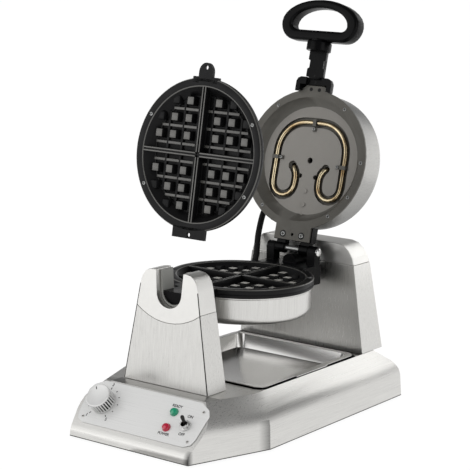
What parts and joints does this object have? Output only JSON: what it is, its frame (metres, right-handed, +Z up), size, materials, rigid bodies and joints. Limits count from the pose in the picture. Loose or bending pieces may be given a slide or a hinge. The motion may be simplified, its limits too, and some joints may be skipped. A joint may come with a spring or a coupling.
{
  "type": "waffle maker",
  "caption": "Commercial flip waffle maker: round hinged iron between two steel towers on a base with dial, switch and lamps, drip tray, and the upper grid plate hanging free.",
  "frame": {"origin": "on the counter, under the middle of the cooking iron, which is the centre of the whole machine's footprint", "axes": "+X to the operator's right, +Y to the rear, +Z up; the iron's turning axis runs along Y"},
  "size_m": [0.28, 0.492, 0.5753],
  "materials": {
    "brushed_steel": "vertical brushed grain, low gloss",
    "satin_cast": "satin, finely blasted",
    "polished_steel": "bright polished steel",
    "nonstick_casting": "cast aluminium with a dark non-stick coat",
    "grey_casting": "bare sand casting",
    "heater_sheath": "heat-tinted tube, golden",
    "black_phenolic": "moulded, faint sheen",
    "black_rubber": "matt rubber",
    "label_film": "satin silver film on a flat plate",
    "turned_aluminium": "machined, ribbed side",
    "green_lens": "clear tinted dome",
    "red_lens": "clear tinted dome",
    "zinc_plate": "bright zinc plating"
  },
  "bodies": {
    "base": {"base_shell": "brushed_steel", "bottom_cover": "zinc_plate", "foot_front_left": "black_rubber", "foot_front_right": "black_rubber", "foot_rear_left": "black_rubber", "foot_rear_right": "black_rubber", "tray_well": "brushed_steel", "front_tower_shell": "brushed_steel", "front_tower_cap": "satin_cast", "notch_liner": "black_phenolic", "rear_tower_shell": "brushed_steel", "rear_tower_cap": "satin_cast", "rear_bearing": "polished_steel", "terminal_block": "black_phenolic", "cord_gland": "black_rubber", "control_plate": "label_film", "thermostat": "zinc_plate", "ready_lamp": "green_lens", "power_lamp": "red_lens", "switch_bushing": "polished_steel", "switch_body": "black_phenolic"},
    "tray": {"drip_tray": "polished_steel"},
    "knob": {"control_knob": "turned_aluminium"},
    "switch": {"switch_lever": "polished_steel"},
    "rotor": {"lower_housing": "brushed_steel", "lower_casting": "grey_casting", "lower_heater": "heater_sheath", "lower_grid_plate": "nonstick_casting", "front_journal": "black_phenolic", "rear_journal": "black_phenolic", "hinge_pin": "polished_steel", "stop_collar": "zinc_plate", "lower_lead_gland": "black_rubber"},
    "lid": {"lid_housing": "brushed_steel", "lid_casting": "grey_casting", "lid_heater": "heater_sheath", "heater_clip_top": "polished_steel", "heater_clip_left": "polished_steel", "heater_clip_right": "polished_steel", "lid_hinge_bracket": "black_phenolic", "handle_yoke": "black_phenolic", "handle_shaft": "black_phenolic", "handle_grip": "black_phenolic", "lid_lead_gland": "black_rubber", "lid_lead": "black_rubber"},
    "upper_plate": {"upper_grid_plate": "nonstick_casting"}
  },
  "joints": [
    {"name": "rotor_turn", "type": "hinge", "parent": "base", "child": "rotor", "pos_m": [0, 0, 0.199], "axis": [0, 1, 0], "range_deg": [0, 20]},
    {"name": "lid_hinge", "type": "hinge", "parent": "rotor", "child": "lid", "pos_m": [0, 0.131, 0.217], "axis": [1, 0, 0], "range_deg": [0, 103], "deforming": ["lid_lead"]},
    {"name": "plate_draw", "type": "slide", "parent": "base", "child": "upper_plate", "axis": [0, -0.9932, 0.1167], "range_m": [0, 0.2]},
    {"name": "knob_turn", "type": "hinge", "parent": "base", "child": "knob", "pos_m": [-0.066, -0.21405, 0.04709], "axis": [0, -0.7194, 0.6946], "range_deg": [0, 270]},
    {"name": "switch_toggle", "type": "hinge", "parent": "base", "child": "switch", "pos_m": [0.073, -0.21867, 0.04461], "axis": [1, 0, 0], "range_deg": [0, 34]},
    {"name": "tray_lift", "type": "slide", "parent": "base", "child": "tray", "axis": [0, 0, 1], "range_m": [0, 0.04]}
  ],
  "couplings": [
    {"joint": "plate_draw", "follows": "lid_hinge", "m_per_rad": 0.111}
  ]
}
